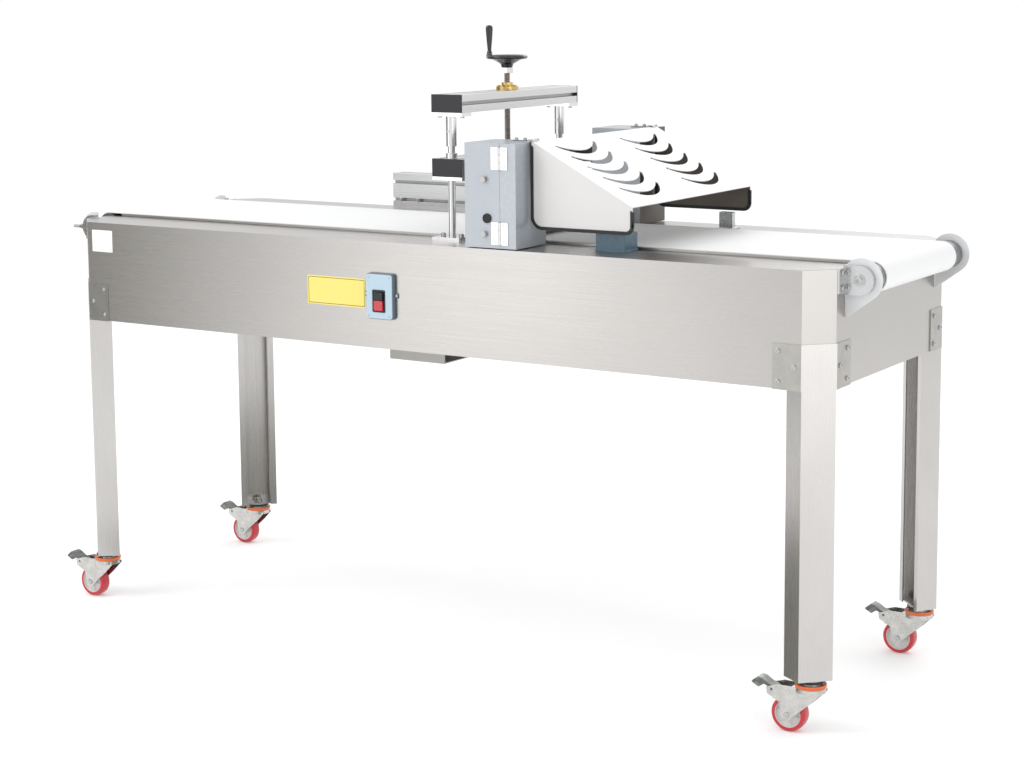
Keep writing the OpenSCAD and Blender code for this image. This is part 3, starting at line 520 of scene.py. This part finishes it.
# ---- plates on the apron, blank ----
bm = bmesh.new()
prism(bm, rounded(163, 66, 3, *YELLOW_AT), place(0, -APRON_Y, 0), 0.7, "-Y")
add_object("yellow_plate", bm, "yellow", "table", "label_plates", 0.2)
bm = bmesh.new()
prism(bm, rounded(65, 53, 2, -900.5, LIP - 44.5), place(0, -APRON_Y, 0), 0.7, "-Y")
add_object("white_plate", bm, "white_film", "table", None, 0.2)
bm = bmesh.new()
at = Matrix.Translation(place(0, -APRON_Y - 0.72, 0)) @ AXES["-Y"]
wall(bm, *[[bm.verts.new(at @ Vector((x * MM, y * MM, 0))) for x, y in outline]
           for outline in (rounded(157, 60, 2, *YELLOW_AT), rounded(154.6, 57.6, 1.2, *YELLOW_AT))])
add_object("plate_border", bm, "black", "table", smooth=False)

# ---- switch box: dark back, light face with a framed recess ----
bm = bmesh.new()
prism(bm, rounded(72, 102.5, 7, *SWITCH_AT), place(0, -APRON_Y, 0), 1.5, "-Y")
ring_plate(bm, rounded(72, 102.5, 7, *SWITCH_AT), rounded(25.4, 42.3, 0.8, -67, LIP - 132.15),
           Matrix.Translation(place(0, -341.4, 0)) @ AXES["-Y"], 8.1)
slab(bm, -110.9, -20.9, -343, -340, LIP - 124, LIP - 112)
add_object("switch_back", bm, "switch_back", "table", "switch_box", 0.8)
bm = bmesh.new()
ring_plate(bm, rounded(69, 99.5, 6, *SWITCH_AT), rounded(35.5, 50.5, 3, *WELL_AT),
           Matrix.Translation(place(0, -349.4, 0)) @ AXES["-Y"], 2.5)
add_object("switch_face", bm, "switch", "table", None, 0.5)
bm = bmesh.new()
ring_plate(bm, rounded(35.0, 50.0, 3, *WELL_AT), rounded(29.0, 45.5, 2, *WELL_AT),
           Matrix.Translation(place(0, -349.5, 0)) @ AXES["-Y"], 2.9)
add_object("switch_surround", bm, "black", "table", None, 0.4)
bm = bmesh.new()
for x, z in ((-94, -78), (-38, -78), (-94, -165), (-38, -165)):
    lathe(bm, [(0, 0), (2.3, 0), (2.2, 0.5), (1.2, 0.8), (0, 0.8)], place(x, -351.8, LIP + z), "-Y", 20)
add_object("switch_screws", bm, "bolt", "table")

# ---- door furniture and hinges ----
HINGE_SCREW = [(0, 0), (3.4, 0), (3.2, 0.6), (1.8, 1.1), (1.5, 0.6), (0, 0.6)]
HINGE_Z = (10, 171)                   # the two hinges, above the housing's foot
HINGE_SCREW_Z = (4, 40)               # screws in a leaf, above the hinge's own place
for side, sy in (("near", -1), ("far", 1)):
    outward = "-Y" if sy < 0 else "Y"
    door, box = "door_" + side, "head_box_" + side
    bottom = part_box(box)[0].z / MM
    bm = bmesh.new()
    for z in HINGE_Z:
        slab(bm, HINGE_X - 21.2, HINGE_X - 2.6, sy * HOUSING_Y, sy * (HOUSING_Y + LEAF_T), bottom + z - 2.2,
             bottom + z + 46.2)
        for k in (-2, 30.5):
            lathe(bm, [(0, 0), (2.4, 0), (2.75, 0.4), (2.75, 15.1), (2.4, 15.5), (0, 15.5)],
                  place(HINGE_X, sy * (HOUSING_Y + 2.5), bottom + z + k), "Z", 24)
        for k in HINGE_SCREW_Z:
            lathe(bm, HINGE_SCREW, place(HINGE_X - 12, sy * (HOUSING_Y + 1.7), bottom + z + k), outward, 20)
    add_object(door + "_hinge", bm, "bright", door, None, 0.25)
    bm = bmesh.new()
    for z in HINGE_Z:
        slab(bm, HINGE_X + 2.6, HINGE_X + 20.2, sy * HOUSING_Y, sy * (HOUSING_Y + LEAF_T), bottom + z - 2.2,
             bottom + z + 46.2)
        lathe(bm, [(0, 0), (2.75, 0), (2.75, 16), (0, 16)],
              place(HINGE_X, sy * (HOUSING_Y + 2.5), bottom + z + 14), "Z", 24)
        for k in HINGE_SCREW_Z:
            lathe(bm, HINGE_SCREW, place(HINGE_X + 12, sy * (HOUSING_Y + 1.7), bottom + z + k), outward, 20)
    add_object(box + "_hinge", bm, "bright", "head", None, 0.25)
    bm = bmesh.new()
    knob = [(0, 0), (7.6, 0), (7.6, 1.6), (4.9, 1.9), (4.6, 3.8), (6.5, 4.2), (6.7, 5.0), (6.7, 7.6),
            (6.0, 8.1), (1.2, 8.1), (1.1, 6.9), (0, 6.9)]
    for z in (32, 149.5):
        lathe(bm, knob, place(205, sy * HOUSING_Y, LIP + z), outward, 40)
    # the knobs take the tabs' darker colour, which is painted shade
    add_object(door + "_knobs", bm, "tab_painted_shade", door)
    bm = bmesh.new()
    lathe(bm, [(0, 0), (10.3, 0), (10.5, 0.6), (10.3, 3.5), (9.6, 4.2), (7.2, 4.2), (6.9, 3.4), (3.0, 3.4),
               (2.8, 3.9), (0, 3.9)], place(212, sy * HOUSING_Y, LIP + 66), outward, 40)
    add_object(door + "_lock", bm, "rubber", door)
    bm = bmesh.new()
    ylo, yhi = sorted((sy * 276.8, sy * 257.2))
    slab(bm, 234.2, 283.8, ylo, yhi, bottom + 225.1, bottom + 227.9)
    add_object(box + "_hood_leaf", bm, "dark_paint", "head", None, 0.5)
    bm = bmesh.new()
    for x in (244, 266):
        lathe(bm, [(0, 0), (4.4, 0), (4.4, 1.0), (2.8, 1.2), (2.8, 6.2), (2.2, 6.9), (0, 6.9)],
              place(x, sy * 267, bottom + 227.6), "Z", 28)
    add_object(box + "_leaf_screws", bm, "bolt", "head")

# ---- gantry: threaded screw, handwheel and grip ----
lo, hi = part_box("lift_screw")
z_low, z_high = lo.z / MM, hi.z / MM
beam_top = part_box("lower_beam")[1].z / MM
bm = bmesh.new()
AROUND, PITCH, ROWS_PER_TURN = 36, 4.0, 10
start, stop = beam_top + 8.6, z_high - 24.2
rows = int((stop - start) / PITCH * ROWS_PER_TURN)
grid = []
for r in range(rows + 1):
    z = start + (stop - start) * r / rows
    line = []
    for i in range(AROUND):
        phase = ((z - start) / PITCH - i / AROUND) % 1.0
        depth = min(1.0, max(0.0, (abs(phase - 0.5) - 0.12) / 0.13))
        radius = 5.2 + 1.75 * depth
        a = 2 * math.pi * i / AROUND
        line.append(bm.verts.new(place(SCREW_X + radius * math.cos(a), radius * math.sin(a), z)))
    grid.append(line)
for a, b in zip(grid, grid[1:]):
    wall(bm, a, b)
bm.faces.new(grid[0][::-1])
bm.faces.new(grid[-1])
add_object("screw_thread", bm, "screw", "lift_wheel", "lift_screw")
bm = bmesh.new()
lathe(bm, [(0, z_low), (6.9, z_low), (6.9, beam_top + 0.5), (10.6, beam_top + 0.5), (11, beam_top + 1.0),
           (11, beam_top + 8.0), (10.5, beam_top + 8.5), (0, beam_top + 8.5)], place(SCREW_X, 0, 0), "Z", 40)
add_object("screw_collar", bm, "turned", "lift_wheel")
hub_z = z_high - 24
bm = bmesh.new()
prism(bm, hexagon(16), place(SCREW_X, 0, hub_z), 12, "Z")
lathe(bm, [(0, 0), (9.6, 0), (9.6, 0.8), (0, 0.8)], place(SCREW_X, 0, hub_z - 0.8), "Z", 40)
add_object("screw_hub", bm, "bright", "lift_wheel", None, 0.7)

GRIP_ANGLE = 212                      # where the grip stands on the rim, in degrees
wheel = hub_z + 40                    # top face of the rim
bm = bmesh.new()
rim = [(0, -27.6), (11.5, -27.6), (13.0, -26.4), (14.6, -20.5), (17.5, -18.4), (30.0, -11.4), (38.5, -7.6)]
for a in range(-120, 150, 18):
    rim.append((42.6 + 5.3 * math.cos(math.radians(a)), -4.0 + 4.6 * math.sin(math.radians(a))))
rim += [(36.5, -4.2), (29.0, -8.0), (18.0, -14.2), (15.2, -13.4), (14.0, -4.2), (12.6, -3.0), (7.4, -3.0),
        (7.0, -4.4), (0, -4.4)]
lathe(bm, rim, place(SCREW_X, 0, wheel), "Z", 96)
for i in range(3):
    spin = Matrix.Rotation(math.radians(GRIP_ANGLE + 120 * i), 4, "Z")
    spoke = [(14.0, -14.0), (37.8, -6.2), (37.8, -4.0), (14.0, -7.6)]
    bar(bm, *[[bm.verts.new(place(SCREW_X, 0, wheel) + spin @ Vector((r * MM, dy * MM, h * MM)))
               for r, h in spoke] for dy in (-2.6, 2.6)])
grip_a = math.radians(GRIP_ANGLE)
grip_x, grip_y = SCREW_X + 40 * math.cos(grip_a), 40 * math.sin(grip_a)
lathe(bm, [(0, -7), (7.4, -7), (7.6, -5), (7.2, 2.2), (6.4, 3.5), (0, 3.5)], place(grip_x, grip_y, wheel),
      "Z", 36)
add_object("wheel_rim", bm, "gloss_black", "lift_wheel", "handwheel")
bm = bmesh.new()
lathe(bm, [(0, -3.4), (6.6, -3.4), (6.4, -2.4), (4.2, -1.8), (0, -1.6)], place(SCREW_X, 0, wheel), "Z", 32)
lathe(bm, [(0, 2.5), (3.0, 2.5), (3.0, 56), (0, 56)], place(grip_x, grip_y, wheel), "Z", 24)
add_object("wheel_pin", bm, "turned", "lift_wheel")
bm = bmesh.new()
grip = [(0, 0.1), (3.2, 0), (5.8, 0), (6.2, 0.8), (6.0, 3.8), (4.7, 5.6), (4.4, 9), (5.0, 16), (6.2, 28),
        (7.3, 42), (8.0, 52), (8.2, 58), (7.6, 61.6), (6.0, 63.8), (3.6, 64.7), (1.6, 64.9), (1.5, 63.6),
        (0, 63.6)]
lathe(bm, grip, place(grip_x, grip_y, wheel + 4), "Z", 56)
add_object("grip_sleeve", bm, "gloss_black", "grip", "crank_grip")

# ---- screws in the sleeves' upper plates, and a plug in each sleeve ----
bm = bmesh.new()
lo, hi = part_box("column_sleeves")
for sy in (-1, 1):
    for dx in (-30, 30):
        lathe(bm, [(0, 0), (4.4, 0), (4.6, 0.6), (4.4, 3.6), (3.9, 4.2), (2.2, 4.2), (2.0, 2.0), (0, 2.0)],
              place(SCREW_X + dx, sy * COLUMN_Y, hi.z / MM - 8 - 4.2), "Z", 24)
    mid = (lo.z / MM + hi.z / MM - 8) / 2
    lathe(bm, [(0, 0), (3.0, 0), (3.0, 0.5), (1.2, 0.5), (1.1, 0.1), (0, 0.1)],
          place(SCREW_X, sy * COLUMN_Y - 12.0, mid), "-Y", 20)
add_object("sleeve_screws", bm, "bolt", "table")

# ---- gearmotors, mostly hidden: ribbed castings with finned motors ----
FINS = 26


def finned_motor(bm, at, axis, radius, length):
    """Adds a motor body with cooling fins, a fan cover and a flange, running along an axis."""
    body = [(0, 0), (radius, 0), (radius, 6), (radius - 4, 8), (radius - 5, 12), (radius - 5, length - 26),
            (radius - 1, length - 24), (radius, length - 20), (radius, length - 3), (radius - 3, length),
            (radius * 0.55, length), (radius * 0.5, length - 2), (0, length - 2)]
    lathe(bm, body, at, axis, 56)
    base = Matrix.Translation(at) @ AXES[axis]
    for i in range(FINS):
        spin = base @ Matrix.Rotation(2 * math.pi * i / FINS, 4, "Z")
        fin = [(radius - 6, -1.1), (radius - 0.4, -0.8), (radius - 0.4, 0.8), (radius - 6, 1.1)]
        bar(bm, *[[bm.verts.new(spin @ Vector((r * MM, w * MM, h * MM))) for r, w in fin]
                  for h in (10, length - 25)])


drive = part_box("drive_drum")
dx, dz = ((drive[0] + drive[1]) / 2).x / MM - MID.x / MM, ((drive[0] + drive[1]) / 2).z / MM
bm = bmesh.new()
prism(bm, rounded(84, 80, 10, dx, dz), place(0, 266, 0), 60, "-Y")
for k in range(3):
    prism(bm, rounded(70, 3, 1.2, dx, dz - 22 + 22 * k), place(0, 268.5, 0), 3, "-Y")
lathe(bm, [(12, 0), (30, 0), (30, 2.6), (26, 3.2), (12, 3.2)], place(dx, 265.6, dz), "Y", 48)
finned_motor(bm, place(dx + 42, 236, dz), "X", 31, 190)
slab(bm, dx + 92, dx + 148, 222, 250, dz + 24, dz + 52)
add_object("drive_gearmotor", bm, "motor", "table", "gearmotor", 0.8)
lo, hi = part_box("head_motor")
bm = bmesh.new()
cx, floor_z = 205, lo.z / MM
prism(bm, rounded(70, 66, 9, cx, floor_z + 33), place(0, 286, 0), 60, "-Y")
lathe(bm, [(9, 0), (24, 0), (24, 2), (9, 2)], place(cx, 285.8, floor_z + 28), "Y", 40)
finned_motor(bm, place(cx, 272, floor_z + 66), "Z", 45, 114)
add_object("head_gearmotor", bm, "motor", "head", "head_motor", 0.8)

# ---- stage, light and camera ----
def plain(name, color, rough):
    """An even finish for what stands round the object."""
    return finish_of(name, color, 0.0, rough, (3, 3, 3), 0.03, 0.0, mottle=0.01, mottle_size=0.5, spec=0.2)


floor_mesh = bpy.data.meshes.new("floor")
FAR = 30.0                            # from the middle to the floor's edges, in metres
floor_mesh.from_pydata([(-FAR, -FAR, 0), (FAR, -FAR, 0), (FAR, FAR, 0), (-FAR, FAR, 0)], [], [(0, 1, 2, 3)])
floor = bpy.data.objects.new("floor", floor_mesh)
pale = plain("pale_floor", (0.90, 0.90, 0.90), 0.75)
glow = pale.node_tree.nodes["Principled BSDF"]
glow.inputs["Emission Color"].default_value = (1, 1, 1, 1)
glow.inputs["Emission Strength"].default_value = 0.14
floor_mesh.materials.append(pale)
bpy.context.scene.collection.objects.link(floor)

world = bpy.data.worlds.new("studio")
bpy.context.scene.world = world
world.use_nodes = True
world.node_tree.nodes["Background"].inputs["Color"].default_value = (1.0, 1.0, 1.0, 1)
world.node_tree.nodes["Background"].inputs["Strength"].default_value = 1.0
bpy.context.scene.view_settings.view_transform = "Standard"


def area(name, at, target, size, power):
    """Adds a soft light that faces a point: metres and watts."""
    data = bpy.data.lights.new(name, "AREA")
    data.shape, data.size, data.size_y, data.energy = "RECTANGLE", size[0], size[1], power
    obj = bpy.data.objects.new(name, data)
    obj.location = at
    obj.rotation_euler = (Vector(target) - Vector(at)).to_track_quat("-Z", "Y").to_euler()
    obj.visible_camera = False
    bpy.context.scene.collection.objects.link(obj)


area("key", (-2.4, -3.2, 4.2), (0, 0, 0.8), (3.2, 2.2), 80)
area("strip", (-1.66, -3.3, 0.9), (0.2, -0.3, 0.8), (1.0, 1.9), 6)
area("fill", (4.0, -1.9, 1.2), (0.8, 0, 0.6), (1.6, 2.2), 12)
area("back", (0.6, 4.0, 3.2), (0, 0, 0.9), (3.6, 1.6), 40)


def flag(name, bm, grey):
    """A dark studio card that only shiny metal sees, so that sheet steel gets its contrast."""
    mesh = bpy.data.meshes.new(name)
    bm.to_mesh(mesh)
    bm.free()
    mesh.materials.append(plain(name + "_cloth", grey, 0.9))
    obj = bpy.data.objects.new(name, mesh)
    bpy.context.scene.collection.objects.link(obj)
    obj.visible_camera = obj.visible_diffuse = obj.visible_shadow = obj.visible_transmission = False


bm = bmesh.new()
FLAG_R, FLAG_H = 3.4, 2.2
lines = []
for k in range(13):
    a = math.radians(46 + 56 * k / 12)          # from the front towards the left
    x, y = -FLAG_R * math.sin(a), -FLAG_R * math.cos(a)
    lines.append((bm.verts.new((x, y, 0.004)), bm.verts.new((x, y, FLAG_H))))
for a, b in zip(lines, lines[1:]):
    bm.faces.new((a[0], b[0], b[1], a[1]))
for x0, x1, y0, y1 in ((-0.75, 0.7, -0.9, 0.30), (-3.4, -0.9, -1.9, -0.9)):
    bm.faces.new([bm.verts.new((x, y, 0.003)) for x, y in ((x0, y0), (x1, y0), (x1, y1), (x0, y1))])
flag("dark_flag", bm, (0.26, 0.255, 0.235))

camera_data = bpy.data.cameras.new("camera")
camera = bpy.data.objects.new("camera", camera_data)
camera_data.sensor_width, camera_data.lens = 36.0, 73.26
camera_data.shift_y = -0.10
camera_data.clip_start, camera_data.clip_end = 0.1, 200
azimuth, pitch, roll = math.radians(32.232), math.radians(7.8), math.radians(-0.466)
camera.location = place(2625.6, -4067.0, 1492.3)
ahead = Vector((-math.sin(azimuth) * math.cos(pitch), math.cos(azimuth) * math.cos(pitch), -math.sin(pitch)))
camera.rotation_mode = "QUATERNION"
camera.rotation_quaternion = ahead.to_track_quat("-Z", "Y") @ Matrix.Rotation(roll, 4, "Z").to_quaternion()
bpy.context.scene.collection.objects.link(camera)
bpy.context.scene.camera = camera
